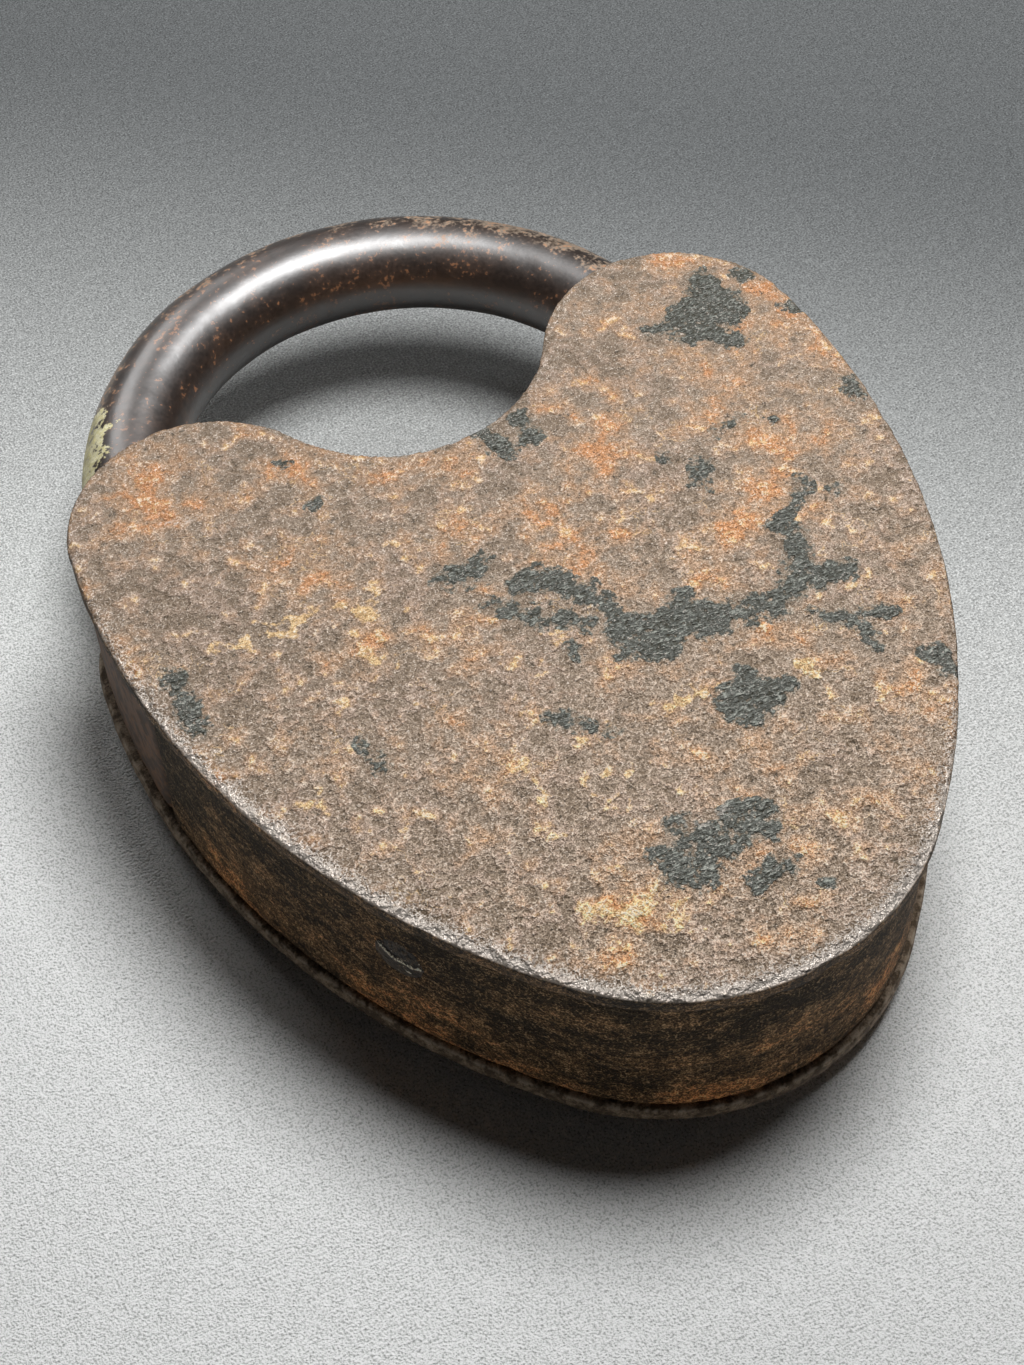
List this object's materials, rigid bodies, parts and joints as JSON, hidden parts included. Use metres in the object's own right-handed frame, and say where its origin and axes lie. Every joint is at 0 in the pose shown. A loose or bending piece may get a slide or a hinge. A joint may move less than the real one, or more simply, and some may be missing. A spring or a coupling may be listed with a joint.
{
  "type": "padlock",
  "caption": "Heart-shaped riveted iron padlock, rusted all over, with a round swinging shackle, a sliding bolt and a keyhole cover.",
  "frame": {"origin": "under the middle of the lock's box, on the surface that its rivet heads rest on", "axes": "+Z out of the plain back plate, +Y from the case towards the shackle's bow, +X from the shackle's hinged heel towards its toe"},
  "size_m": [0.0906, 0.1254, 0.028],
  "materials": {
    "rusty_plate": "pitted rust, mauve-brown with orange patches and dark scale",
    "rusty_band": "dark rusted strip with orange-brown streaks",
    "dark_bar": "dark brown iron worn to a soft shine, mottled with rust",
    "rivets": "hammered rivet ends worn darker than the plates",
    "inner_iron": "dull dark iron with light rust",
    "spring_steel": "dull blued spring steel"
  },
  "bodies": {
    "case": {"back_plate": "rusty_plate", "front_plate": "rusty_plate", "rim_band": "rusty_band", "heel_rivet": "rivets", "case_posts": "rivets", "toe_stop": "inner_iron", "key_pin": "inner_iron", "back_ward": "inner_iron", "front_ward": "inner_iron", "bolt_stud": "inner_iron", "stud_washer": "inner_iron", "bolt_strap": "inner_iron", "strap_rivets": "inner_iron", "bolt_spring": "spring_steel", "spring_rivet": "rivets", "cover_rivet": "rivets", "cover_washer": "inner_iron"},
    "shackle": {"shackle": "dark_bar"},
    "bolt": {"bolt": "inner_iron"},
    "cover": {"keyhole_cover": "rusty_plate"}
  },
  "joints": [
    {"name": "shackle_swing", "type": "hinge", "parent": "case", "child": "shackle", "pos_m": [-0.0311, 0.02032, 0.0153], "axis": [0, 0, 1], "range_deg": [0, 85]},
    {"name": "bolt_slide", "type": "slide", "parent": "case", "child": "bolt", "axis": [1, 0, 0], "range_m": [0, 0.0045]},
    {"name": "cover_swing", "type": "hinge", "parent": "case", "child": "cover", "pos_m": [0, -0.02888, 0.0018], "axis": [0, 0, 1], "range_deg": [-120, 120]}
  ]
}
